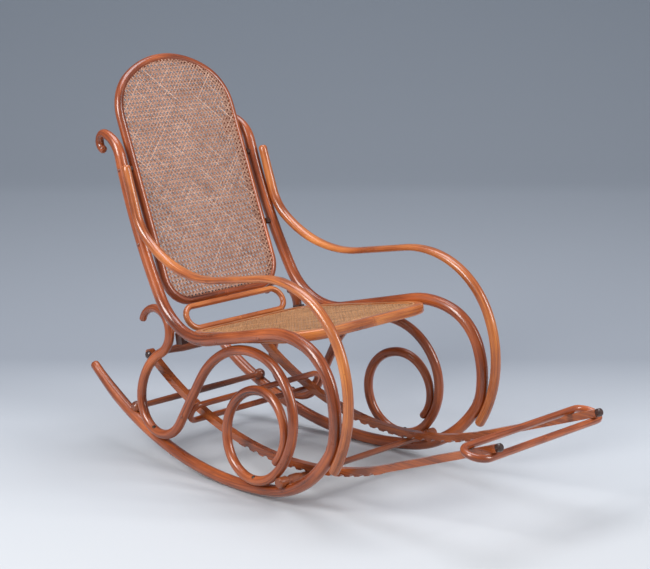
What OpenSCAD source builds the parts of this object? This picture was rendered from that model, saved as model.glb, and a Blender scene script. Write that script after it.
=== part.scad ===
/* [Side members] */
// Half spacing of the two side planes where the rockers touch the floor
half_gauge = 256; // [230:1:300]
// Toe-in of each side plane toward the back, in degrees
toe_in = 3; // [2:0.5:4]
// Diameter of the long bent side members
side_d = 31; // [26:0.5:32]
// Diameter of the armrests
arm_d = 26; // [22:0.5:30]
// Diameter of the S-scrolls
scroll_d = 25; // [20:0.5:28]

/* [Back] */
// How far inside the side planes the back hoop's centreline runs
hoop_inset = 60; // [56:1:90]
// Height of the back hoop along its slope
hoop_height = 655; // [520:5:800]
// Diameter of the back hoop
hoop_d = 24; // [18:0.5:26]
// Thickness of the woven back panel
back_cane_t = 4; // [3:0.5:6]

/* [Seat] */
// Depth of the seat rim, centre to centre
seat_depth = 448; // [400:1:470]
// Height of the seat rim
rim_h = 26; // [20:0.5:27]
// Width of the seat rim
rim_w = 30; // [24:0.5:40]
// Thickness of the woven seat panel
seat_cane_t = 5; // [3:0.5:8]

/* [Rings and stretchers] */
// Diameter of the oval rings
ring_d = 16; // [12:0.5:18]
// Diameter of the stretchers at mid length
stretcher_d = 16; // [12:0.5:17]
// Diameter of the ball ends of the stretchers
knob_d = 32; // [26:0.5:34]

/* [Footrest] */
// How far inside the side planes the footrest rails run
rail_inset = 65; // [60:1:95]
// Width of the footrest rails
rail_w = 19; // [14:0.5:24]
// Depth of the footrest rails
rail_depth = 18; // [14:0.5:20]
// How far inside the side planes the foot ring's centreline ends
foot_ring_inset = 20; // [10:1:40]
// Spacing of the notches under the rails
notch_pitch = 33; // [26:1:44]

/* [Hidden] */
$fn = 48;
facet_turn = 10;
// Long enough that the rocker has a flat to stand on
facet_length = 128;
rod_sides = 10;
screw_d = 5;
screw_head_d = 10;
screw_gap = 0.1;
fit_gap = 0.2;
// How much wider than a member its seat in a neighbour is cut, each side
cope_gap = 0.4;
seat_gap = 0.1;
lap = 1;

// Each path is a list of arcs [radius, turn] and straight runs [length, 0].
// A start is [rear-ward distance, height, heading]; positive turns go left.
side_start = [565, 212, 218];
side_path = [[920, -47.5], [305, -48], [110, -23.5], [245, -30.5], [145, -49.5], [225, -33],
             [236, 0], [175, 73], [1545, 14], [85, -60.5], [22, -174]];
seat_run = 6;
post_run = 8;
arm_start = [-374, 132, 122];
arm_path = [[310, -55.5], [240, -54], [265, -23], [164, 0], [335, 48], [145, 34.5], [116, 0]];
scroll_start = [360, 325, 99.5];
scroll_path = [[36, 35], [60, 196.5], [145, -50], [100, -54.5], [85, -107.5], [148, 0],
               [210, 72.5], [160, 95], [185, 28.5], [115, 54], [105, 70.5], [120, 96.5],
               [90, 46], [100, 91]];
// The armrest plane turns outward from the side plane at the front loop
arm_pivot = -316;
arm_splay = 1;
// The scroll leans inward toward its top, from this height up
scroll_pivot = 50;
scroll_out = 17;
scroll_lean = 4.5;
// The lowest point of the rocker's centreline, and the move that centres the chair's base
rocker_low = 17.33;
base_shift = [0, 116, side_d/2 - rocker_low];

// Where a bent member touches the side member: [run of the side path, share of the run,
// distance between centrelines, offset outward, side of the path (1 left, -1 right)]
arm_joints = [[2, 0.40, 28.6, -1.4, 1], [post_run, 0.57, 28.1, 11.6, 1]];
scroll_joints = [[7, 0.80, 28.7, -10.2, -1], [0, 0.40, 28.4, 13.8, -1], [0, 0.95, 30.9, 17, -1]];
screw_bite = 4;
// Seat screws go through the seat run a little below its middle
seat_joints = [0.12, 0.82];
seat_screw_drop = 7;
seat_screw_reach = 18;
// Shares of the post where the hoop is fixed
back_joints = [0.39, 0.92];
back_screw_bite = 3;
spacer_d = 17;

hoop_half = half_gauge - hoop_inset;
back_recline = 21.3;
back_base = [284, 421];
hoop_corner_r = 70;
hoop_shoulder_r = 130;
hoop_shoulder_turn = 55;
hoop_crown_turn = 90 - hoop_shoulder_turn;
hoop_crown_r = (hoop_half - hoop_shoulder_r*(1 - cos(hoop_shoulder_turn)))/sin(hoop_crown_turn);
hoop_side = hoop_height - hoop_corner_r - hoop_shoulder_r*sin(hoop_shoulder_turn)
    - hoop_crown_r*(1 - cos(hoop_crown_turn));
back_cane_forward = 4;
cane_gap = 0.6;

seat_slope = 10.1;
seat_front = [-243, 441.5];
seat_front_half = half_gauge - 19;
seat_rear_half = seat_front_half - seat_depth*tan(toe_in);
seat_front_r = 92;
seat_rear_r = 62;
seat_cane_drop = 2;
seat_block = [22, 22, 30];

// The lower hoop's bars, each [y, z]
lower_hoop_bottom = [228, 358];
lower_hoop_top = [263, 409];
lower_hoop_half = hoop_half - 21;

rear_stretcher = [391, 128];
rear_stretcher_half = half_gauge - 13;
// Where the rails ride on the front stretcher, in degrees about the slide axis
front_stretcher_at = -2.67;
rail_rest_gap = 0.4;
front_stretcher_half = half_gauge + 38;
knob_neck = 26;
drum_d = 27;

// The rails run in an arc about this axis, which the footrest also swings about
rail_half = half_gauge - rail_inset;
foot_ring_half = half_gauge - foot_ring_inset;
slide_axis = [-163, 945.5];
rail_r = 860;
rail_rear_at = 37.4;
rail_front_at = -20.3;
rail_rear_run = 20;
rail_front_run = 357;
rail_cap_run = 13;
rail_cap_d = 20;
tooth = 2;
toothed_from = -19.6;
toothed_to = 12.8;
notch_r = 9.5;
notch_depth = 6;
notch_count = 14;
guide_at = 22.9;
guide_half = half_gauge - 21.5;
guide_spread = 24;
cross_at = 38.2;
cross_d = 16;
cross_tenon_d = 9;
cross_mid_d = 25;
cross_mid_half = 80;
cross_knob_d = 22;
foot_ring_d = 18;
foot_ring_rear_run = 281;
foot_ring_front_run = 339;
dowel_d = 7;

// --- paths and swept rods ---

function sweep(p, s) =
    s[1] == 0 ? [p[0] + s[0]*cos(p[2]), p[1] + s[0]*sin(p[2]), p[2]]
    : let (k = sign(s[1])*s[0], h = p[2] + s[1])
      [p[0] + k*(sin(h) - sin(p[2])), p[1] + k*(cos(p[2]) - cos(h)), h];
function share(s, f) = s[1] == 0 ? [s[0]*f, 0] : [s[0], s[1]*f];
function pose(start, path, n) = n == 0 ? start : sweep(pose(start, path, n - 1), path[n - 1]);
function pose_at(start, path, n, f) = sweep(pose(start, path, n), share(path[n], f));
function arc_length(s) = s[0]*abs(s[1])*PI/180;
function steps(s) = s[1] == 0 ? 1
    : max(ceil(abs(s[1])/facet_turn), ceil(arc_length(s)/facet_length));
function stations(start, path) =
    [start, for (i = [0:len(path) - 1]) for (j = [1:steps(path[i])])
        pose_at(start, path, i, j/steps(path[i]))];
function ring(p, r, along) =
    [for (a = [0:rod_sides - 1]) let (c = r*cos(360*a/rod_sides))
        [p[0] - c*sin(p[2]) + along*cos(p[2]), p[1] + c*cos(p[2]) + along*sin(p[2]),
         r*sin(360*a/rod_sides)]];
function quads(n, wrap) =
    [for (k = [0:n - (wrap ? 1 : 2)]) for (a = [0:rod_sides - 1])
        let (b = (a + 1) % rod_sides, m = (k + 1) % n)
        [k*rod_sides + a, m*rod_sides + a, m*rod_sides + b, k*rod_sides + b]];

// A rod with domed ends, swept along a path in the XY plane
module rod(start, path, d) {
    r = d/2;
    st = stations(start, path);
    last = st[len(st) - 1];
    rings = concat([ring(start, r*0.45, -r*0.85), ring(start, r*0.85, -r*0.5)],
                   [for (p = st) ring(p, r, 0)],
                   [ring(last, r*0.85, r*0.5), ring(last, r*0.45, r*0.85)]);
    n = len(rings);
    polyhedron(points = [for (q = rings) each q],
               faces = concat(quads(n, false),
                              [[for (a = [0:rod_sides - 1]) a]],
                              [[for (a = [rod_sides - 1:-1:0]) (n - 1)*rod_sides + a]]));
}

// A closed rod whose path starts and ends at the middle of its lower side
module closed_rod(path, d) {
    st = stations([0, 0, 0], path);
    n = len(st) - 1;
    polyhedron(points = [for (k = [0:n - 1]) each ring(st[k], d/2, 0)], faces = quads(n, true));
}

// The outline of a closed path, moved inward by r
function inset(path, r) = let (st = stations([0, 0, 0], path))
    [for (k = [0:len(st) - 2]) [st[k][0] - r*sin(st[k][2]), st[k][1] + r*cos(st[k][2])]];

// --- places ---

// Side space: X is the distance rearward, Y the height, Z outward. s is 1 left, -1 right.
module at_side(s) {
    translate(base_shift)
        mirror([s > 0 ? 0 : 1, 0, 0])
            translate([half_gauge, 0, 0]) rotate([0, 0, toe_in]) rotate([90, 0, 90]) children();
}
module at_arm() {
    translate([arm_pivot, 0, 0]) rotate([0, -arm_splay, 0]) translate([-arm_pivot, 0, 0]) children();
}
module at_scroll() {
    translate([0, scroll_pivot, scroll_out]) rotate([-scroll_lean, 0, 0]) children();
}
// A plane through an X-parallel line at p = [y, z], leaning back by lean degrees
module at_plane(p, lean) {
    translate(base_shift + [0, p[0], p[1]]) rotate([-lean, 0, 0]) rotate([90, 0, 0]) children();
}
// An X-parallel axis through p = [y, z], pointing outward on side s
module along_x(p, s = 1) {
    translate(base_shift + [0, p[0], p[1]])
        rotate([0, 90, 0]) mirror([0, 0, s > 0 ? 0 : 1]) children();
}
// An oval ring around two X-parallel bars at p and q
module oval(p, q, half, d) {
    r = norm(q - p)/2;
    at_plane(p, atan2(q[0] - p[0], q[1] - p[1]))
        closed_rod([[half - r, 0], [r, 180], [2*(half - r), 0], [r, 180], [half - r, 0]], d);
}

// --- screws ---

// A domed screw along +Z: its tip is at 0 and the underside of its head at h
module screw(h) {
    cylinder(h = h, d = screw_d);
    translate([0, 0, h]) intersection() {
        cylinder(h = 2.6, d = screw_head_d);
        translate([0, 0, -4]) sphere(r = 6.6);
    }
}
module screw_or_bore(h, hole) {
    if (hole) {
        translate([0, 0, -screw_gap]) cylinder(h = h + 1, d = screw_d + 2*screw_gap);
        translate([0, 0, h - screw_gap]) cylinder(h = 5, d = screw_head_d + 1);
    } else screw(h);
}
// The line from the side member's centre to the other member's, at joint j, in side space
module at_joint(j) {
    p = pose_at(side_start, side_path, j[0], j[1]);
    flat = sqrt(j[2]*j[2] - j[3]*j[3]);
    translate([p[0], p[1], 0]) rotate([0, 0, p[2]]) rotate([atan2(-j[4]*flat, j[3]), 0, 0]) children();
}
// Screws from outside, through the scroll into the side member
module scroll_fasteners(hole) {
    for (j = scroll_joints)
        at_joint(j) translate([0, 0, -screw_bite]) screw_or_bore(screw_bite + j[2] + scroll_d/2, hole);
}
// Screws from inside, through the side member into the armrest
module arm_fasteners(hole) {
    for (j = arm_joints)
        at_joint(j) translate([0, 0, j[2] + screw_bite]) rotate([180, 0, 0])
            screw_or_bore(screw_bite + j[2] + side_d/2, hole);
}
module seat_fasteners(hole) {
    reach = side_d/2 + seat_screw_reach;
    face = sqrt(side_d*side_d/4 - seat_screw_drop*seat_screw_drop);
    for (f = seat_joints) {
        p = pose_at(side_start, side_path, seat_run, f);
        translate([p[0], p[1], 0]) rotate([0, 0, p[2]]) translate([0, -seat_screw_drop, -reach])
            screw_or_bore(reach + face, hole);
    }
}
// A place on the post: [y, z, x of its centre]
function post_place(f) = let (p = pose_at(side_start, side_path, post_run, f))
    [p[0]*cos(toe_in), p[1], half_gauge - p[0]*sin(toe_in)];
module back_fasteners(s, hole) {
    for (f = back_joints) {
        q = post_place(f);
        tip = hoop_half - back_screw_bite;
        along_x(q, s) translate([0, 0, tip]) screw_or_bore(q[2] + side_d/2 - tip, hole);
    }
}
function arc_point(r, a) = [slide_axis[0] + r*sin(a), slide_axis[1] - r*cos(a)];
// X of the scroll's centre at p = [y, z]
function scroll_x(p) = half_gauge - p[0]*tan(toe_in) + scroll_out - (p[1] - scroll_pivot)*tan(scroll_lean);
module guide_fasteners(s, hole) {
    q = arc_point(rail_r, guide_at);
    tip = guide_half - back_screw_bite;
    along_x(q, s) translate([0, 0, tip]) screw_or_bore(scroll_x(q) + scroll_d/2 - tip, hole);
}

// --- side members ---

module side_member(s) {
    color("sienna") difference() {
        at_side(s) rod(side_start, side_path, side_d);
        at_side(s) arm_fasteners(true);
        at_side(s) scroll_fasteners(true);
        at_side(s) seat_fasteners(true);
        back_fasteners(s, true);
    }
}
module arm_member(s) {
    color("peru") difference() {
        at_side(s) at_arm() rod(arm_start, arm_path, arm_d);
        at_side(s) rod(side_start, side_path, side_d + 2*seat_gap);
        at_side(s) arm_fasteners(true);
    }
}
module scroll_member(s) {
    color("sienna") difference() {
        at_side(s) at_scroll() rod(scroll_start, scroll_path, scroll_d);
        at_side(s) rod(side_start, side_path, side_d + 2*seat_gap);
        at_side(s) scroll_fasteners(true);
        guide_fasteners(s, true);
    }
}
module side_left() { side_member(1); }
module side_right() { side_member(-1); }
module arm_left() { arm_member(1); }
module arm_right() { arm_member(-1); }
module scroll_left() { scroll_member(1); }
module scroll_right() { scroll_member(-1); }

// --- back ---

hoop_path = [[hoop_half - hoop_corner_r, 0], [hoop_corner_r, 90], [hoop_side, 0],
             [hoop_shoulder_r, hoop_shoulder_turn], [hoop_crown_r, 2*hoop_crown_turn],
             [hoop_shoulder_r, hoop_shoulder_turn], [hoop_side, 0], [hoop_corner_r, 90],
             [hoop_half - hoop_corner_r, 0]];
module back_hoop() {
    color("sienna") difference() {
        at_plane(back_base, back_recline) closed_rod(hoop_path, hoop_d);
        for (s = [1, -1]) back_fasteners(s, true);
    }
}
module back_cane() {
    color("burlywood") at_plane(back_base, back_recline)
        translate([0, 0, back_cane_forward - back_cane_t/2]) linear_extrude(back_cane_t)
            polygon(inset(hoop_path, hoop_d/2 + cane_gap));
}
// Turned collars between the hoop and the posts
module back_spacers() {
    inner = hoop_half + hoop_d/2 + fit_gap;
    color("saddlebrown") for (s = [1, -1]) for (f = back_joints) {
        q = post_place(f);
        run = q[2] - side_d/2 - fit_gap - inner;
        along_x(q, s) translate([0, 0, inner]) difference() {
            cylinder(h = run, d = spacer_d);
            translate([0, 0, -1]) cylinder(h = run + 2, d = screw_d + 2*screw_gap);
        }
    }
}

// --- seat ---

seat_side = seat_depth/cos(toe_in);
front_corner = seat_front_r*tan((90 + toe_in)/2);
rear_corner = seat_rear_r*tan((90 - toe_in)/2);
seat_path = [[seat_front_half - front_corner, 0], [seat_front_r, 90 + toe_in],
             [seat_side - front_corner - rear_corner, 0], [seat_rear_r, 90 - toe_in],
             [2*(seat_rear_half - rear_corner), 0], [seat_rear_r, 90 - toe_in],
             [seat_side - front_corner - rear_corner, 0], [seat_front_r, 90 + toe_in],
             [seat_front_half - front_corner, 0]];
// Seat space: the middle of the front rail's top is the origin and Z is square to the seat
module at_seat() {
    translate(base_shift + [0, seat_front[0], seat_front[1]]) rotate([-seat_slope, 0, 0]) children();
}
module seat_frame() {
    color("sienna") difference() {
        at_seat() translate([0, 0, -rim_h]) linear_extrude(rim_h) difference() {
            polygon(inset(seat_path, -rim_w/2));
            polygon(inset(seat_path, rim_w/2));
        }
        for (s = [1, -1]) at_side(s) seat_fasteners(true);
    }
}
module seat_cane() {
    color("burlywood") at_seat() translate([0, 0, -seat_cane_t - seat_cane_drop])
        linear_extrude(seat_cane_t) polygon(inset(seat_path, rim_w/2 + fit_gap));
}
// Small blocks behind the rear corners of the seat
module seat_blocks() {
    color("saddlebrown") for (s = [1, -1]) mirror([s > 0 ? 0 : 1, 0, 0])
        at_seat() translate([seat_rear_half - 7, seat_depth + rim_w/2 + fit_gap, -seat_block[2]])
            cube(seat_block);
}
module lower_hoop() {
    color("peru") oval(lower_hoop_bottom, lower_hoop_top, lower_hoop_half, ring_d);
}

// --- stretchers and the guide ring ---

// Half of a turned bar, from its middle outward, ending in a ball cut flat
function ball_ended(half) = let (r = knob_d/2, mid = stretcher_d/2)
    [[0, 0], [mid + 1.5, 0], [mid, half - r - knob_neck], [mid - 1, half - 2*r],
     for (a = [-50:10:60]) [r*cos(a), half - r*sin(60) + r*sin(a)],
     [0, half]];
// The same, ending in a swelling, a groove and a drum
function drum_ended(half) = let (mid = stretcher_d/2)
    [[0, 0], [mid, 0], [mid, rail_half + rail_w], [drum_d/2 - 2, half - 66], [drum_d/2 - 1.5, half - 44],
     [mid + 1, half - 37], [mid + 1, half - 34], [drum_d/2 - 0.5, half - 27], [drum_d/2, half - 14],
     [drum_d/2 - 0.5, half - 3], [drum_d/2 - 3, half], [0, half]];
module stretcher(p, outline) {
    color("saddlebrown") difference() {
        for (s = [1, -1]) along_x(p, s) rotate_extrude() polygon(outline);
        for (s = [1, -1]) {
            at_side(s) rod(side_start, side_path, side_d + 2*cope_gap);
            at_side(s) at_scroll() rod(scroll_start, scroll_path, scroll_d + 2*cope_gap);
        }
    }
}
module stretcher_rear() { stretcher(rear_stretcher, ball_ended(rear_stretcher_half)); }
module stretcher_front() {
    r = rail_r + rail_depth/2 + tooth + stretcher_d/2 + rail_rest_gap;
    stretcher(arc_point(r, front_stretcher_at), drum_ended(front_stretcher_half));
}
module guide_ring() {
    color("sienna") difference() {
        oval(arc_point(rail_r + guide_spread, guide_at), arc_point(rail_r - guide_spread, guide_at),
             guide_half, ring_d);
        for (s = [1, -1]) guide_fasteners(s, true);
    }
}

// --- footrest ---

// A ring sector about the slide axis, from angle a to angle b
module sector(inner, outer, a, b) {
    far = 3*outer;
    intersection() {
        translate(slide_axis) difference() {
            circle(r = outer, $fn = 360);
            circle(r = inner, $fn = 360);
        }
        polygon([slide_axis, arc_point(far, a), arc_point(far, b)]);
    }
}
// A frame on a rail's centreline, X pointing along it away from the arc
module at_rail_front() { translate(arc_point(rail_r, rail_front_at)) rotate(180 + rail_front_at) children(); }
module at_rail_rear() { translate(arc_point(rail_r, rail_rear_at)) rotate(rail_rear_at) children(); }
module rail_outline() {
    notch_step = notch_pitch/(rail_r + rail_depth/2)*180/PI;
    first = (toothed_from + toothed_to - (notch_count - 1)*notch_step)/2;
    difference() {
        union() {
            sector(rail_r - rail_depth/2, rail_r + rail_depth/2, rail_front_at, rail_rear_at);
            sector(rail_r, rail_r + rail_depth/2 + tooth, toothed_from, toothed_to);
            at_rail_front() translate([-lap, -rail_depth/2]) square([rail_front_run + lap, rail_depth]);
            at_rail_rear() translate([-lap, -rail_depth/2]) square([rail_rear_run + lap, rail_depth]);
            at_rail_rear() translate([rail_rear_run, 0]) circle(d = rail_depth);
        }
        for (k = [0:notch_count - 1])
            translate(arc_point(rail_r + rail_depth/2 + tooth + notch_r - notch_depth, first + k*notch_step))
                circle(r = notch_r);
    }
}
module at_rails(s) {
    translate(base_shift + [s*rail_half, 0, 0]) rotate([90, 0, 90]) children();
}
// Blind dowels that pin the foot ring's two bars to a rail, and their holes
module foot_pins(hole) {
    low = hole ? -screw_gap : 0;
    reach = rail_depth/2 + foot_ring_d/2;
    at_rail_front() {
        translate([foot_ring_rear_run, -low, 0]) rotate([90, 0, 0]) translate([0, 0, 3])
            cylinder(h = reach - 2*low, d = dowel_d - 2*low);
        translate([foot_ring_front_run, low, 0]) rotate([-90, 0, 0]) translate([0, 0, 3])
            cylinder(h = reach - 2*low, d = dowel_d - 2*low);
    }
}
module foot_rail(s) {
    color("sienna") difference() {
        at_rails(s) translate([0, 0, -rail_w/2]) linear_extrude(rail_w) rail_outline();
        along_x(arc_point(rail_r, cross_at), s) translate([0, 0, rail_half - rail_w])
            cylinder(h = 2*rail_w, d = cross_tenon_d + 2*screw_gap);
        at_rails(s) foot_pins(true);
    }
}
module foot_rail_left() { foot_rail(1); }
module foot_rail_right() { foot_rail(-1); }
// Dark caps on the front ends of the rails
module foot_caps() {
    color("saddlebrown") for (s = [1, -1])
        at_rails(s) at_rail_front() translate([rail_front_run + fit_gap, 0, 0]) rotate([0, 90, 0])
            rotate_extrude() polygon([[0, 0], [rail_cap_d/2, 0], [rail_cap_d/2, rail_cap_run - 4],
                                      [rail_cap_d/2 - 1.5, rail_cap_run - 1.5],
                                      [rail_cap_d/2 - 4, rail_cap_run], [0, rail_cap_run]]);
}
module foot_cross() {
    inside = rail_half - rail_w/2 - fit_gap;
    color("sienna") for (s = [1, -1]) along_x(arc_point(rail_r, cross_at), s)
        rotate_extrude() polygon([[0, 0], [cross_mid_d/2, 0], [cross_mid_d/2, cross_mid_half],
                                  [cross_d/2 + 1, cross_mid_half + 45], [cross_d/2, inside],
                                  [cross_tenon_d/2, inside], [cross_tenon_d/2, rail_half + rail_w/2],
                                  [0, rail_half + rail_w/2]]);
}
// Round buttons on the cross bar's ends
module foot_knobs() {
    color("saddlebrown") for (s = [1, -1])
        along_x(arc_point(rail_r, cross_at), s) translate([0, 0, rail_half + rail_w/2 + fit_gap])
            rotate_extrude() polygon([[0, 0], [cross_knob_d/2 - 1, 0], [cross_knob_d/2, 2.5],
                                      [cross_knob_d/2 - 1, 6], [cross_knob_d/2 - 4, 8.5], [0, 9.5]]);
}
module foot_ring() {
    off = rail_depth/2 + foot_ring_d/2 + fit_gap;
    along = [cos(180 + rail_front_at), sin(180 + rail_front_at)];
    up = [-sin(rail_front_at), cos(rail_front_at)];
    origin = arc_point(rail_r, rail_front_at);
    color("sienna") difference() {
        oval(origin + foot_ring_front_run*along - off*up, origin + foot_ring_rear_run*along + off*up,
             foot_ring_half, foot_ring_d);
        for (s = [1, -1]) at_rails(s) foot_pins(true);
    }
}

// --- fasteners ---

module arm_screws() {
    color("dimgray") for (s = [1, -1]) at_side(s) arm_fasteners(false);
}
module scroll_screws() {
    color("dimgray") for (s = [1, -1]) at_side(s) scroll_fasteners(false);
}
module seat_screws() {
    color("dimgray") for (s = [1, -1]) at_side(s) seat_fasteners(false);
}
module back_screws() {
    color("dimgray") for (s = [1, -1]) back_fasteners(s, false);
}
module guide_screws() {
    color("dimgray") for (s = [1, -1]) guide_fasteners(s, false);
}
module foot_dowels() {
    color("tan") for (s = [1, -1]) at_rails(s) foot_pins(false);
}

side_left();
side_right();
arm_left();
arm_right();
scroll_left();
scroll_right();
back_hoop();
back_cane();
back_spacers();
seat_frame();
seat_cane();
seat_blocks();
lower_hoop();
stretcher_rear();
stretcher_front();
guide_ring();
arm_screws();
scroll_screws();
seat_screws();
back_screws();
guide_screws();
foot_rail_left();
foot_rail_right();
foot_cross();
foot_knobs();
foot_ring();
foot_caps();
foot_dowels();
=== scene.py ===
import math

import bpy
import numpy as np
from mathutils import Matrix, Vector


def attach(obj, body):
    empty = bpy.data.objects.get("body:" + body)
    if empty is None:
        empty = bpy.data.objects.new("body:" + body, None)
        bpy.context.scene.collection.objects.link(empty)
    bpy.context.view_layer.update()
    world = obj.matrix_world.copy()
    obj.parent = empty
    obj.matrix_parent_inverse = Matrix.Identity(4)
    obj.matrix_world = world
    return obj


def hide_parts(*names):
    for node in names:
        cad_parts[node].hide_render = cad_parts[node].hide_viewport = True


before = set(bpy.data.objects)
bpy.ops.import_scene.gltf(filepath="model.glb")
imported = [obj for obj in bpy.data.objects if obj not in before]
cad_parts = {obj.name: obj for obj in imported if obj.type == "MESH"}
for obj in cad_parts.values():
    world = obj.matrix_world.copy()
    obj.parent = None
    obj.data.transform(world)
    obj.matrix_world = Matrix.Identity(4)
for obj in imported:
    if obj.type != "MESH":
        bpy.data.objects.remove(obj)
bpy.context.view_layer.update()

# --- Rocker and post -------------------------------------------------------------------
# One long beech rod on each side, steamed and bent: it starts as the rocker, turns up at
# the front, comes back as the rail beside the seat and ends as the post with its hook.
# Lengths along a path are in millimetres and turn into metres when the mesh is placed.
base_shift = (0, 116, -1.83)
side_gauge = 256
side_toe_in = 3
side_r = 15.5
side_start = (565, 212, 218)
side_path = [(920, -47.5), (305, -48), (110, -23.5), (245, -30.5), (145, -49.5), (225, -33),
             (236, 0), (175, 73), (1545, 14), (85, -60.5), (22, -174)]


def swept_stations(start, path, step_turn=3.0, step_run=14.0):
    """Points (x, y, heading, length so far) along arcs (radius, turn) and straights (length, 0)."""
    x, y, heading = start
    run = 0.0
    found = [(x, y, heading, run)]
    for size, turn in path:
        length = size if turn == 0 else size * math.radians(abs(turn))
        count = max(1, math.ceil(abs(turn) / step_turn), math.ceil(length / step_run))
        for _ in range(count):
            part = turn / count
            chord = length / count
            if turn != 0:
                chord = 2 * size * math.sin(math.radians(abs(part)) / 2)
            middle = math.radians(heading + part / 2)
            x += chord * math.cos(middle)
            y += chord * math.sin(middle)
            heading += part
            run += length / count
            found.append((x, y, heading, run))
    return found


def oval_section(across, out, sides=20, power=2.0):
    """A round or rounded-square section: in the path's plane, and out of it."""
    corners = []
    for k in range(sides):
        a = 2 * math.pi * k / sides
        c, s = math.cos(a), math.sin(a)
        corners.append((across * math.copysign(abs(c) ** (2 / power), c),
                        out * math.copysign(abs(s) ** (2 / power), s)))
    return corners


def bent_rod(name, stations, section, place, closed=False):
    """Sweeps section(run) along the stations. Each point keeps where it was in the straight rod."""
    rings = []
    if closed:
        stations = stations[:-1]
    for x, y, heading, run in stations:
        rings.append((x, y, heading, run, 0.0, 1.0))
    if not closed:
        x, y, heading, run = stations[0]
        front = [(x, y, heading, run, -a, b) for a, b in ((0.62, 0.3), (0.52, 0.66), (0.3, 0.88))]
        x, y, heading, run = stations[-1]
        back = [(x, y, heading, run, a, b) for a, b in ((0.3, 0.88), (0.52, 0.66), (0.62, 0.3))]
        rings = front + rings + back
    points, straight = [], []
    for x, y, heading, run, push, scale in rings:
        corners = section(run)
        radius = max(c[0] for c in corners)
        c, s = math.cos(math.radians(heading)), math.sin(math.radians(heading))
        for n, b in corners:
            n, b = n * scale, b * scale
            along = push * radius
            points.append(place @ Vector(((x + along * c - n * s) * 0.001,
                                          (y + along * s + n * c) * 0.001, b * 0.001)))
            straight.append(((run + along) * 0.001, n * 0.001, b * 0.001))
    sides = len(section(0))
    count = len(rings)
    faces = []
    for k in range(count if closed else count - 1):
        m = (k + 1) % count
        for a in range(sides):
            b = (a + 1) % sides
            faces.append((k * sides + a, k * sides + b, m * sides + b, m * sides + a))
    if not closed:
        faces.append(tuple(range(sides - 1, -1, -1)))
        faces.append(tuple((count - 1) * sides + a for a in range(sides)))
    if place.determinant() > 0:
        faces = [tuple(reversed(f)) for f in faces]
    mesh = bpy.data.meshes.new(name)
    mesh.from_pydata(points, [], faces)
    mesh.polygons.foreach_set("use_smooth", [True] * len(faces))
    grain = mesh.attributes.new("straight", "FLOAT_VECTOR", "POINT")
    grain.data.foreach_set("vector", [v for p in straight for v in p])
    piece = bpy.data.objects.new(name, mesh)
    bpy.context.collection.objects.link(piece)
    return piece


def side_place(s, inner=Matrix()):
    """Side space (rearward, up, outward) into the chair: s is 1 on the left and -1 on the right."""
    shift = Matrix.Translation(Vector(base_shift) * 0.001)
    flip = Matrix.Diagonal((s, 1, 1, 1))
    out = Matrix.Translation((side_gauge * 0.001, 0, 0))
    toe = Matrix.Rotation(math.radians(side_toe_in), 4, "Z")
    stand = Matrix.Rotation(math.radians(90), 4, "Z") @ Matrix.Rotation(math.radians(90), 4, "X")
    return shift @ flip @ out @ toe @ stand @ inner


def linear(code):
    """An sRGB hex colour as linear red, green, blue and alpha."""
    parts = [int(code[i:i + 2], 16) / 255 for i in (1, 3, 5)]
    return tuple(c / 12.92 if c <= 0.04045 else ((c + 0.055) / 1.055) ** 2.4 for c in parts) + (1.0,)


def node(tree, kind, links=(), **settings):
    """Adds a node, sets its properties or inputs, and links (input, source socket) pairs."""
    made = tree.nodes.new(kind)
    for key, value in settings.items():
        if hasattr(made, key):
            setattr(made, key, value)
        else:
            made.inputs[key.replace("_", " ")].default_value = value
    for socket, source in links:
        tree.links.new(source, made.inputs[socket])
    return made


def colour_steps(tree, source, stops):
    """A colour ramp with the given (place, hex colour) stops."""
    ramp = node(tree, "ShaderNodeValToRGB", [("Fac", source)])
    while len(ramp.color_ramp.elements) < len(stops):
        ramp.color_ramp.elements.new(0.5)
    for element, (at, code) in zip(ramp.color_ramp.elements, stops):
        element.position = at
        element.color = linear(code)
    return ramp.outputs["Color"]


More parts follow.
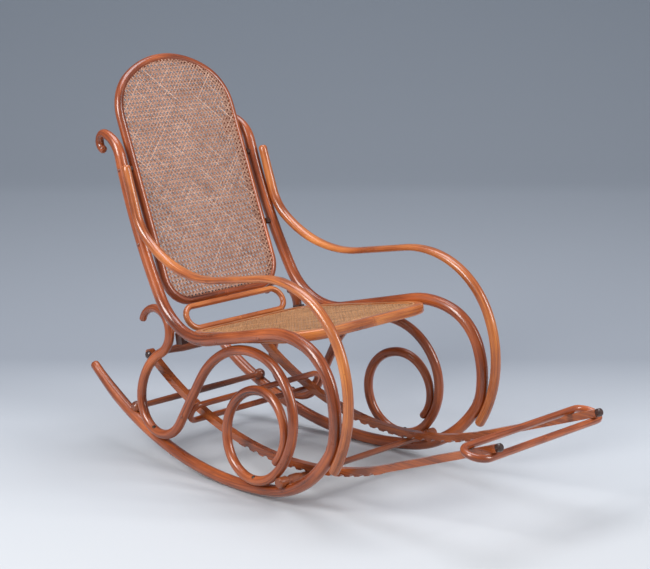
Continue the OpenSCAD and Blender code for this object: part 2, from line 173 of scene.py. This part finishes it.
def stained_beech(name, light, middle, dark, straight=True, along="X", gloss=0.24):
    """Steam-bent beech, stained and varnished: long fine grain that follows the rod, short
    darker flecks a few millimetres long, a cloudy stain and a clear glossy skin."""
    made = bpy.data.materials.new(name)
    made.use_nodes = True
    tree = made.node_tree
    tree.nodes.clear()
    if straight:
        where = node(tree, "ShaderNodeAttribute", attribute_name="straight").outputs["Vector"]
        grain_axis = "X"
    else:
        where = node(tree, "ShaderNodeTexCoord").outputs["Object"]
        grain_axis = along

    def stretched(run, across):
        """Scales so that features are about run and across long, in millimetres."""
        sizes = [1000 / across] * 3
        sizes["XYZ".index(grain_axis)] = 1000 / run
        return node(tree, "ShaderNodeMapping", [("Vector", where)], Scale=sizes).outputs["Vector"]

    streaks = node(tree, "ShaderNodeTexNoise", [("Vector", stretched(120, 3.2))], Scale=1.0,
                   Detail=5.0, Roughness=0.6)
    cloud = node(tree, "ShaderNodeTexNoise", [("Vector", stretched(170, 60))], Scale=1.0, Detail=3.0)
    flecks = node(tree, "ShaderNodeTexNoise", [("Vector", stretched(9, 1.3))], Scale=1.0, Detail=2.0)
    tone = node(tree, "ShaderNodeMath", [(0, streaks.outputs["Fac"]), (1, cloud.outputs["Fac"])],
                operation="ADD")
    spread = node(tree, "ShaderNodeMapRange", [("Value", tone.outputs[0])])
    spread.inputs["From Min"].default_value = 0.66
    spread.inputs["From Max"].default_value = 1.34
    body = colour_steps(tree, spread.outputs["Result"], [(0.0, dark), (0.45, middle), (1.0, light)])
    speck = node(tree, "ShaderNodeMapRange", [("Value", flecks.outputs["Fac"])])
    speck.inputs["From Min"].default_value = 0.60
    speck.inputs["From Max"].default_value = 0.74
    speck.inputs["To Max"].default_value = 0.45
    colour = node(tree, "ShaderNodeMix", [("Factor", speck.outputs["Result"])], data_type="RGBA")
    tree.links.new(body, colour.inputs["A"])
    colour.inputs["B"].default_value = linear(dark)
    rough = node(tree, "ShaderNodeMapRange", [("Value", cloud.outputs["Fac"])])
    rough.inputs["From Min"].default_value = 0.3
    rough.inputs["From Max"].default_value = 0.7
    rough.inputs["To Min"].default_value = gloss
    rough.inputs["To Max"].default_value = gloss + 0.14
    bump = node(tree, "ShaderNodeBump", [("Height", streaks.outputs["Fac"])], Strength=0.12,
                Distance=0.0004)
    skin = node(tree, "ShaderNodeBsdfPrincipled", [("Base Color", colour.outputs["Result"]),
                                                   ("Roughness", rough.outputs["Result"]),
                                                   ("Normal", bump.outputs["Normal"])])
    skin.inputs["IOR"].default_value = 1.5
    skin.inputs["Coat Weight"].default_value = 0.55
    skin.inputs["Coat Roughness"].default_value = 0.12
    node(tree, "ShaderNodeOutputMaterial", [("Surface", skin.outputs["BSDF"])])
    return made


red_beech = stained_beech("beech_stained_red_brown", "#c4662e", "#8c4019", "#4a1e0c")


def dress(piece, material, body):
    """Gives a new piece its material and its body."""
    piece.data.materials.append(material)
    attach(piece, body)
    return piece


def eased(value, low, high):
    """0 below low, 1 above high and smooth between."""
    t = min(1.0, max(0.0, (value - low) / (high - low)))
    return t * t * (3 - 2 * t)


side_stations = swept_stations(side_start, side_path)
side_length = side_stations[-1][3]


def side_section(run):
    """Round, thinner over the last stretch of the rocker's tail and of the hook."""
    r = side_r - 3.0 * (1 - eased(run, 0, 130)) - 4.5 * eased(run, side_length - 190, side_length)
    return oval_section(r, r, 24)


for s, name in ((1, "left"), (-1, "right")):
    rod = bent_rod(f"rocker_post_{name}", side_stations, side_section, side_place(s))
    dress(rod, red_beech, "chair")
    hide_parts(f"side_{name}")

# --- Armrests --------------------------------------------------------------------------
# A second bent rod on each side: round where it loops down in front, shaved flat where the
# arm lies, and round again where it runs up the front of the post and ends in a dome.
arm_start = (-374, 132, 122)
arm_path = [(310, -55.5), (240, -54), (265, -23), (164, 0), (335, 48), (145, 34.5), (116, 0)]
arm_r = 13
arm_pivot = -316
arm_splay = 1


def arm_section(run):
    """The flat stretch is thinner and wider than the rest."""
    flat = eased(run, 360, 620) * (1 - eased(run, 860, 1120))
    high = arm_r + (8.6 - arm_r) * flat - 1.5 * eased(run, 1150, 1270)
    wide = arm_r + (16.5 - arm_r) * flat - 1.5 * eased(run, 1150, 1270)
    return oval_section(high, wide, 24, 2.0 + 0.5 * flat)


arm_turn = (Matrix.Translation((arm_pivot * 0.001, 0, 0))
            @ Matrix.Rotation(math.radians(-arm_splay), 4, "Y")
            @ Matrix.Translation((-arm_pivot * 0.001, 0, 0)))
honey_beech = stained_beech("beech_stained_honey", "#dc8840", "#a85828", "#602c14")
for s, name in ((1, "left"), (-1, "right")):
    rod = bent_rod(f"armrest_{name}", swept_stations(arm_start, arm_path), arm_section,
                   side_place(s, arm_turn))
    dress(rod, honey_beech, "chair")
    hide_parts(f"arm_{name}")

# --- Scrolls ---------------------------------------------------------------------------
# The decorative S-scroll on the outer face of each side: a hook behind the post, a deep U
# on the rocker, the tall arch and the coiled loop. It is a thinner rod, screwed on.
scroll_start = (360, 325, 99.5)
scroll_path = [(36, 35), (60, 196.5), (145, -50), (100, -54.5), (85, -107.5), (148, 0),
               (210, 72.5), (160, 95), (185, 28.5), (115, 54), (105, 70.5), (120, 96.5),
               (90, 46), (100, 91)]
scroll_r = 12.5
scroll_lift = 50
scroll_out = 17
scroll_lean = 4.5
scroll_stations = swept_stations(scroll_start, scroll_path)
scroll_length = scroll_stations[-1][3]


def scroll_section(run):
    """Round, with both tips a little thinner."""
    r = scroll_r - 3.0 * (1 - eased(run, 0, 120))
    r -= 2.5 * eased(run, scroll_length - 220, scroll_length)
    return oval_section(r, r, 20)


scroll_turn = (Matrix.Translation((0, scroll_lift * 0.001, scroll_out * 0.001))
               @ Matrix.Rotation(math.radians(-scroll_lean), 4, "X"))
for s, name in ((1, "left"), (-1, "right")):
    rod = bent_rod(f"scroll_rod_{name}", scroll_stations, scroll_section, side_place(s, scroll_turn))
    dress(rod, red_beech, "chair")
    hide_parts(f"scroll_{name}")

# --- Back hoop -------------------------------------------------------------------------
# One rod bent into a closed arch. Its joint is in the bottom bar, and a row of small holes
# round its front inner edge takes the ends of the cane.
hoop_half = 196
hoop_height = 655
hoop_r = 12
hoop_corner_r = 70
hoop_shoulder_r = 130
hoop_shoulder_turn = 55
hoop_base = (284, 421)
hoop_recline = 21.3
crown_turn = 90 - hoop_shoulder_turn
crown_r = ((hoop_half - hoop_shoulder_r * (1 - math.cos(math.radians(hoop_shoulder_turn))))
           / math.sin(math.radians(crown_turn)))
hoop_side = (hoop_height - hoop_corner_r - hoop_shoulder_r * math.sin(math.radians(hoop_shoulder_turn))
             - crown_r * (1 - math.cos(math.radians(crown_turn))))
hoop_half_path = [(hoop_half - hoop_corner_r, 0), (hoop_corner_r, 90), (hoop_side, 0),
                  (hoop_shoulder_r, hoop_shoulder_turn), (crown_r, crown_turn)]
hoop_path = hoop_half_path + hoop_half_path[::-1]


def bar_place(at, lean):
    """A plane through the bar at (y, z), leaning back: X across, Y up the slope, Z forward."""
    return (Matrix.Translation(Vector((0, at[0], at[1])) * 0.001)
            @ Matrix.Translation(Vector(base_shift) * 0.001)
            @ Matrix.Rotation(math.radians(-lean), 4, "X")
            @ Matrix.Rotation(math.radians(90), 4, "X"))


hoop_place = bar_place(hoop_base, hoop_recline)
hoop_stations = swept_stations((0, 0, 0), hoop_path)
hoop = bent_rod("back_hoop_rod", hoop_stations, lambda run: oval_section(hoop_r, hoop_r, 24),
                hoop_place, closed=True)
dress(hoop, red_beech, "chair")
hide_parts("back_hoop")


def small_discs(name, spots, radius, material):
    """Many small shallow domes, each at a (centre, direction) spot, as one piece."""
    points, faces = [], []
    for centre, way in spots:
        side = way.orthogonal().normalized()
        other = way.cross(side)
        first = len(points)
        for k in range(10):
            a = 2 * math.pi * k / 10
            points.append(centre + (side * math.cos(a) + other * math.sin(a)) * radius)
        points.append(centre + way * radius * 0.25)
        faces += [(first + k, first + (k + 1) % 10, first + 10) for k in range(10)]
        faces.append(tuple(first + k for k in range(9, -1, -1)))
    mesh = bpy.data.meshes.new(name)
    mesh.from_pydata(points, [], faces)
    piece = bpy.data.objects.new(name, mesh)
    bpy.context.collection.objects.link(piece)
    return dress(piece, material, "chair")


hole_pitch = 12
hole_front = 38
spots = []
for x, y, heading, run in swept_stations((0, 0, 0), hoop_path, 90, hole_pitch)[:-1]:
    inward = Vector((-math.sin(math.radians(heading)), math.cos(math.radians(heading)), 0))
    tilt = math.radians(hole_front)
    way = inward * math.cos(tilt) + Vector((0, 0, 1)) * math.sin(tilt)
    centre = Vector((x, y, 0)) * 0.001 + way * (hoop_r - 0.15) * 0.001
    spots.append((hoop_place @ centre, (hoop_place.to_3x3() @ way).normalized()))
# The holes are not cut: flat dark discs stand in for them, and their dark colour is painted shade, the
# shadow inside each hole.
painted_hole_shade = stained_beech("hole_shade_painted_dark", "#3a1c10", "#26110a", "#120805", gloss=0.5)
small_discs("hoop_hole_shade_painted", spots, 0.0024, painted_hole_shade)

# --- Woven cane ------------------------------------------------------------------------
# Split cane: flat shiny strips with a soft crown. Upright and level strips lie in pairs and
# two slanting sets run between them, which leaves a grid of eight-sided openings.


def varnished_cane(name, light, middle, dark):
    """Natural cane under varnish: pale shiny skin, fine lengthwise fibre and darker nodes
    every few centimetres; it has yellowed unevenly from strip to strip."""
    made = bpy.data.materials.new(name)
    made.use_nodes = True
    tree = made.node_tree
    tree.nodes.clear()
    where = node(tree, "ShaderNodeAttribute", attribute_name="straight").outputs["Vector"]
    fibre_at = node(tree, "ShaderNodeMapping", [("Vector", where)], Scale=(60.0, 2500.0, 13.0))
    fibre = node(tree, "ShaderNodeTexNoise", [("Vector", fibre_at.outputs["Vector"])], Scale=1.0,
                 Detail=3.0)
    strip_at = node(tree, "ShaderNodeMapping", [("Vector", where)], Scale=(7.0, 0.0, 13.0))
    strip = node(tree, "ShaderNodeTexNoise", [("Vector", strip_at.outputs["Vector"])], Scale=1.0,
                 Detail=2.0)
    tone = node(tree, "ShaderNodeMath", [(0, fibre.outputs["Fac"]), (1, strip.outputs["Fac"])],
                operation="ADD")
    spread = node(tree, "ShaderNodeMapRange", [("Value", tone.outputs[0])])
    spread.inputs["From Min"].default_value = 0.7
    spread.inputs["From Max"].default_value = 1.3
    colour = colour_steps(tree, spread.outputs["Result"], [(0.0, dark), (0.5, middle), (1.0, light)])
    skin = node(tree, "ShaderNodeBsdfPrincipled", [("Base Color", colour)])
    skin.inputs["Roughness"].default_value = 0.42
    skin.inputs["IOR"].default_value = 1.5
    node(tree, "ShaderNodeOutputMaterial", [("Surface", skin.outputs["BSDF"])])
    return made


def inside_run(outline, point, way):
    """Where the line point + t * way enters and leaves a convex outline, or None."""
    low, high = -1e9, 1e9
    for (ax, ay), (bx, by) in zip(outline, outline[1:] + outline[:1]):
        nx, ny = -(by - ay), bx - ax
        facing = nx * way[0] + ny * way[1]
        gap = nx * (point[0] - ax) + ny * (point[1] - ay)
        if abs(facing) < 1e-9:
            if gap < 0:
                return None
            continue
        t = -gap / facing
        if facing > 0:
            low = max(low, t)
        else:
            high = min(high, t)
    return (low, high) if high - low > 4 else None


def weave(name, outline, place, pitch, width, material):
    """Fills a convex outline with six-way cane, in the XY plane of place."""
    xs = [p[0] for p in outline]
    ys = [p[1] for p in outline]
    reach = int((max(xs) - min(xs) + max(ys) - min(ys)) / pitch) + 2
    middle_y = (max(ys) + min(ys)) / 2
    pair = 0.15 * pitch
    strips = []
    for k in range(-reach, reach + 1):
        for side in (-pair, pair):
            strips.append(((k * pitch + side, middle_y), (0, 1), -0.3, 0.0))
            strips.append(((0, middle_y + k * pitch + side), (1, 0), 0.3, 0.0))
        strips.append((((k + 0.5) * pitch, middle_y), (0.7071, 0.7071), 0.75, 0.35))
        strips.append((((k + 0.5) * pitch, middle_y), (-0.7071, 0.7071), 1.1, -0.35))
    half = width / 2
    section = ((-half, 0.0), (-half * 0.7, 0.35), (0.0, 0.5), (half * 0.7, 0.35), (half, 0.0), (0.0, -0.2))
    points, faces, straight = [], [], []
    for number, (point, way, height, wave) in enumerate(strips):
        run = inside_run(outline, point, way)
        if run is None:
            continue
        across = (-way[1], way[0])
        step = pitch * 0.3536 if wave else 1e9
        count = max(1, math.ceil((run[1] - run[0]) / step))
        first = len(points)
        for k in range(count + 1):
            t = run[0] + (run[1] - run[0]) * k / count
            lift = height + wave * math.cos(2 * math.pi * t / (pitch * 1.4142))
            for a, up in section:
                points.append(place @ Vector(((point[0] + way[0] * t + across[0] * a) * 0.001,
                                              (point[1] + way[1] * t + across[1] * a) * 0.001,
                                              (lift + up) * 0.001)))
                straight.append((t * 0.001, a * 0.001, number * 0.37))
        n = len(section)
        for k in range(count):
            for a in range(n):
                b = (a + 1) % n
                low = first + k * n
                faces.append((low + a, low + n + a, low + n + b, low + b))
        faces.append(tuple(first + a for a in range(n)))
        faces.append(tuple(first + count * n + a for a in range(n - 1, -1, -1)))
    mesh = bpy.data.meshes.new(name)
    mesh.from_pydata(points, [], faces)
    mesh.polygons.foreach_set("use_smooth", [True] * len(faces))
    fibre = mesh.attributes.new("straight", "FLOAT_VECTOR", "POINT")
    fibre.data.foreach_set("vector", [v for p in straight for v in p])
    piece = bpy.data.objects.new(name, mesh)
    bpy.context.collection.objects.link(piece)
    return dress(piece, material, "chair")


def inner_outline(stations, inset):
    """The path moved inward by inset."""
    return [(x - inset * math.sin(math.radians(h)), y + inset * math.cos(math.radians(h)))
            for x, y, h, run in stations[:-1]]


back_cane_forward = 9
back_cane = varnished_cane("cane_back_varnished", "#e4bca4", "#b08068", "#744e3c")
back_panel = weave("back_cane_weave", inner_outline(hoop_stations, hoop_r - 5.5),
                   hoop_place @ Matrix.Translation((0, 0, back_cane_forward * 0.001)),
                   hole_pitch, 2.9, back_cane)
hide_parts("back_cane")

# --- Seat ------------------------------------------------------------------------------
# A bent beech rim with rounded edges, wider in front. The cane is let in just below its
# top, and a strip of binding cane covers the holes all round.
seat_slope = 10.1
seat_front = (-243, 441.5)
seat_depth = 448
rim_w = 30
rim_h = 26
seat_front_half = side_gauge - 19
seat_rear_half = seat_front_half - seat_depth * math.tan(math.radians(side_toe_in))
seat_front_r = 92
seat_rear_r = 62
front_corner = seat_front_r * math.tan(math.radians((90 + side_toe_in) / 2))
rear_corner = seat_rear_r * math.tan(math.radians((90 - side_toe_in) / 2))
seat_side = seat_depth / math.cos(math.radians(side_toe_in)) - front_corner - rear_corner
seat_half_path = [(seat_front_half - front_corner, 0), (seat_front_r, 90 + side_toe_in),
                  (seat_side, 0), (seat_rear_r, 90 - side_toe_in), (seat_rear_half - rear_corner, 0)]
seat_stations = swept_stations((0, 0, 0), seat_half_path + seat_half_path[::-1])
seat_place = (Matrix.Translation(Vector(base_shift) * 0.001)
              @ Matrix.Translation(Vector((0, seat_front[0], seat_front[1])) * 0.001)
              @ Matrix.Rotation(math.radians(-seat_slope), 4, "X"))
rim = bent_rod("seat_rim", seat_stations,
               lambda run: oval_section(rim_w / 2, rim_h / 2, 28, 4.2),
               seat_place @ Matrix.Translation((0, 0, -rim_h * 0.0005)), closed=True)
dress(rim, honey_beech, "chair")
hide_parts("seat_frame")
seat_cane = varnished_cane("cane_seat_varnished", "#e0aa76", "#b07c50", "#724e30")
seat_panel = weave("seat_cane_weave", inner_outline(seat_stations, rim_w / 2 - 2),
                   seat_place @ Matrix.Translation((0, 0, -0.0040)), 11, 3.0, seat_cane)
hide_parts("seat_cane")
binding_stations = [(x, y, h, r) for (x, y), (_, _, h, r) in
                    zip(inner_outline(seat_stations, rim_w / 2 - 5), seat_stations)]
binding_stations.append(binding_stations[0])
binding = bent_rod("seat_binding", binding_stations,
                   lambda run: oval_section(2.6, 0.8, 10),
                   seat_place @ Matrix.Translation((0, 0, -0.0003)), closed=True)
dress(binding, seat_cane, "chair")

# --- Oval rings ------------------------------------------------------------------------
# Three closed rings of thin rod: one between back and seat, one under the seat that guides
# the footrest rails, and the foot ring itself, which grips the rails between its two bars.
ring_r = 8


def oval_ring(name, low, high, half, r, material, body, hides):
    """A closed ring round two crosswise bars, whose centres are at (y, z)."""
    end = math.dist(low, high) / 2
    lean = math.degrees(math.atan2(high[0] - low[0], high[1] - low[1]))
    path = [(half - end, 0), (end, 180), (2 * (half - end), 0), (end, 180), (half - end, 0)]
    ring = bent_rod(name, swept_stations((0, 0, 0), path, 6), lambda run: oval_section(r, r, 18),
                    bar_place(low, lean), closed=True)
    dress(ring, material, body)
    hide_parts(hides)


oval_ring("lower_hoop_rod", (228, 358), (263, 409), 175, ring_r, honey_beech, "chair", "lower_hoop")
slide_axis = (-163, 945.5)
rail_r = 860
guide_at = 22.9
guide_spread = 24


def arc_point(r, angle):
    """A point on the rails' arc at an angle behind straight down."""
    a = math.radians(angle)
    return (slide_axis[0] + r * math.sin(a), slide_axis[1] - r * math.cos(a))


oval_ring("guide_ring_rod", arc_point(rail_r + guide_spread, guide_at),
          arc_point(rail_r - guide_spread, guide_at), side_gauge - 21.5, ring_r, red_beech,
          "chair", "guide_ring")
rail_front_at = -20.3
rail_depth = 18
foot_ring_r = 9
tip = math.radians(180 + rail_front_at)
rail_along = (math.cos(tip), math.sin(tip))
rail_up = (-math.sin(math.radians(rail_front_at)), math.cos(math.radians(rail_front_at)))
rail_bend = arc_point(rail_r, rail_front_at)
grip = rail_depth / 2 + foot_ring_r + 0.2
ring_bars = [tuple(rail_bend[i] + run * rail_along[i] + side * grip * rail_up[i] for i in (0, 1))
             for run, side in ((339, -1), (281, 1))]
oval_ring("foot_ring_rod", ring_bars[0], ring_bars[1], 236, foot_ring_r, red_beech, "footrest",
          "foot_ring")

# --- Turned bars, rails and small wood ---------------------------------------------------
# Stretchers with ball ends, the notched footrest rails with their dark caps, the cross bar
# and its buttons, the collars and the blocks. Their edges are eased by a small round.
cross_beech = stained_beech("beech_turned_dark", "#a4562a", "#743616", "#3e1a0a", False, "X")
rail_beech = stained_beech("beech_rails", "#c0682e", "#8e441a", "#4c1e0c", False, "Y")
cap_beech = stained_beech("beech_caps_dark", "#4a2415", "#301409", "#190a05", False, "Y", 0.3)
kept = {"stretcher_rear": cross_beech, "stretcher_front": cross_beech, "foot_cross": cross_beech,
        "foot_knobs": cap_beech, "foot_caps": cap_beech, "seat_blocks": cap_beech, "foot_dowels": cap_beech,
        "back_spacers": cap_beech, "foot_rail_left": rail_beech, "foot_rail_right": rail_beech}


def finish_node(name, material, ease):
    """Puts a material on a frame node and rounds its sharp edges by ease, in metres."""
    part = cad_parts[name]
    part.data.materials.clear()
    part.data.materials.append(material)
    part.data.polygons.foreach_set("use_smooth", [True] * len(part.data.polygons))
    part.data.set_sharp_from_angle(angle=math.radians(35))
    if ease:
        round_edges = part.modifiers.new("eased_edges", "BEVEL")
        round_edges.width = ease
        round_edges.segments = 3
        round_edges.limit_method = "ANGLE"
        round_edges.angle_limit = math.radians(40)
        round_edges.harden_normals = True


for name, material in kept.items():
    finish_node(name, material, 0.0015 if name.startswith("foot") else 0.0008)

# --- Screws ----------------------------------------------------------------------------
# Domed iron screws, darkened by age, worn to grey metal in small patches.


def aged_iron(name):
    """Iron screw heads: brown-black oxide, worn to grey metal in small patches."""
    made = bpy.data.materials.new(name)
    made.use_nodes = True
    tree = made.node_tree
    tree.nodes.clear()
    where = node(tree, "ShaderNodeTexCoord").outputs["Object"]
    patches = node(tree, "ShaderNodeTexNoise", [("Vector", where)], Scale=400.0, Detail=3.0)
    colour = colour_steps(tree, patches.outputs["Fac"],
                          [(0.35, "#2a211c"), (0.55, "#4b3d34"), (0.72, "#8d8177")])
    rough = node(tree, "ShaderNodeMapRange", [("Value", patches.outputs["Fac"])])
    rough.inputs["To Min"].default_value = 0.6
    rough.inputs["To Max"].default_value = 0.3
    skin = node(tree, "ShaderNodeBsdfPrincipled", [("Base Color", colour),
                                                   ("Roughness", rough.outputs["Result"])])
    skin.inputs["Metallic"].default_value = 0.8
    node(tree, "ShaderNodeOutputMaterial", [("Surface", skin.outputs["BSDF"])])
    return made


screw_iron = aged_iron("screw_iron_aged")
finish_node("scroll_screws", screw_iron, 0)
# The other screws were stained over together with the wood.
stained_heads = stained_beech("screw_heads_stained_over", "#a45428", "#803a18", "#4a1e0c", False, "Z")
for name in ("arm_screws", "seat_screws", "back_screws", "guide_screws"):
    finish_node(name, stained_heads, 0)

# --- Floor and backdrop ------------------------------------------------------------------
# One pale sheet: level under the chair, then curving up into a cool grey wall behind it. Its colour carries
# painted shade.
sweep_start = 4.6
sweep_r = 2.6
wall_top = 7.0
profile = [(-9.0, 0.0), (0.0, 0.0), (sweep_start, 0.0)]
for k in range(1, 13):
    a = math.radians(90 * k / 12)
    profile.append((sweep_start + sweep_r * math.sin(a), sweep_r * (1 - math.cos(a))))
profile.append((sweep_start + sweep_r, wall_top))
camera_yaw = 46.5
turn = Matrix.Rotation(math.radians(-camera_yaw), 4, "Z")
points = [turn @ Vector((side, run, height)) for run, height in profile for side in (-14.0, 14.0)]
faces = [(2 * k, 2 * k + 1, 2 * k + 3, 2 * k + 2) for k in range(len(profile) - 1)]
sheet_mesh = bpy.data.meshes.new("backdrop_sheet")
sheet_mesh.from_pydata(points, [], faces)
sheet_mesh.polygons.foreach_set("use_smooth", [True] * len(faces))
backdrop = bpy.data.objects.new("backdrop_sheet", sheet_mesh)
bpy.context.collection.objects.link(backdrop)
paper = bpy.data.materials.new("paper_sweep_painted_shade")
paper.use_nodes = True
tree = paper.node_tree
tree.nodes.clear()
place = node(tree, "ShaderNodeNewGeometry").outputs["Position"]
back_way = node(tree, "ShaderNodeVectorMath", [(0, place)], operation="DOT_PRODUCT")
yaw = math.radians(camera_yaw)
climb = 0.35
back_way.inputs[1].default_value = (math.sin(yaw), math.cos(yaw), climb)
depth = node(tree, "ShaderNodeMapRange", [("Value", back_way.outputs["Value"])])
depth.inputs["From Min"].default_value = -0.6
depth.inputs["From Max"].default_value = 8.2
# Painted shade: over the pale cool grey paper, the ramp darkens the sheet in a band about a metre behind
# the chair and again towards the top of the wall, where the studio light falls off.
shade = colour_steps(tree, depth.outputs["Result"],
                     [(0.0, "#c4c6c8"), (0.12, "#c0c4c9"), (0.2, "#999ea6"),
                      (0.55, "#b8bec6"), (1.0, "#949ca6")])
skin = node(tree, "ShaderNodeBsdfPrincipled", [("Base Color", shade)])
skin.inputs["Roughness"].default_value = 0.85
node(tree, "ShaderNodeOutputMaterial", [("Surface", skin.outputs["BSDF"])])
sheet_mesh.materials.append(paper)

# --- Lights and camera -------------------------------------------------------------------
# Large soft boxes: one high on the camera's left, one high on its right and one overhead.


def soft_box(name, spot, aim, size, power, code):
    lamp = bpy.data.lights.new(name, "AREA")
    lamp.shape = "RECTANGLE"
    lamp.size, lamp.size_y = size
    lamp.energy = power
    lamp.color = linear(code)[:3]
    light = bpy.data.objects.new(name, lamp)
    light.location = spot
    light.rotation_euler = (Vector(aim) - Vector(spot)).to_track_quat("-Z", "Y").to_euler()
    bpy.context.collection.objects.link(light)


soft_box("left_box", (-3.6, 0.4, 2.9), (0, 0.1, 0.4), (1.3, 2.4), 150, "#ffffff")
soft_box("right_box", (1.6, -3.6, 2.6), (0, 0, 0.4), (1.2, 2.2), 112, "#ffffff")
soft_box("top_box", (0.3, 0.4, 4.2), (0, 0, 0), (2.4, 2.4), 94, "#f4f7ff")
world = bpy.data.worlds.new("studio")
world.use_nodes = True
world.node_tree.nodes["Background"].inputs["Color"].default_value = linear("#dfe6f2")
world.node_tree.nodes["Background"].inputs["Strength"].default_value = 0.38
bpy.context.scene.world = world
bpy.context.scene.view_settings.view_transform = "Standard"

camera_spot = (-3.3354, -3.1323, 1.5177)
camera_pitch = 12.53
lens = bpy.data.cameras.new("camera")
lens.lens = 102.7
lens.sensor_width = 36
camera = bpy.data.objects.new("camera", lens)
camera.location = camera_spot
camera.rotation_euler = (math.radians(90 - camera_pitch), 0, math.radians(-camera_yaw))
bpy.context.collection.objects.link(camera)
bpy.context.scene.camera = camera
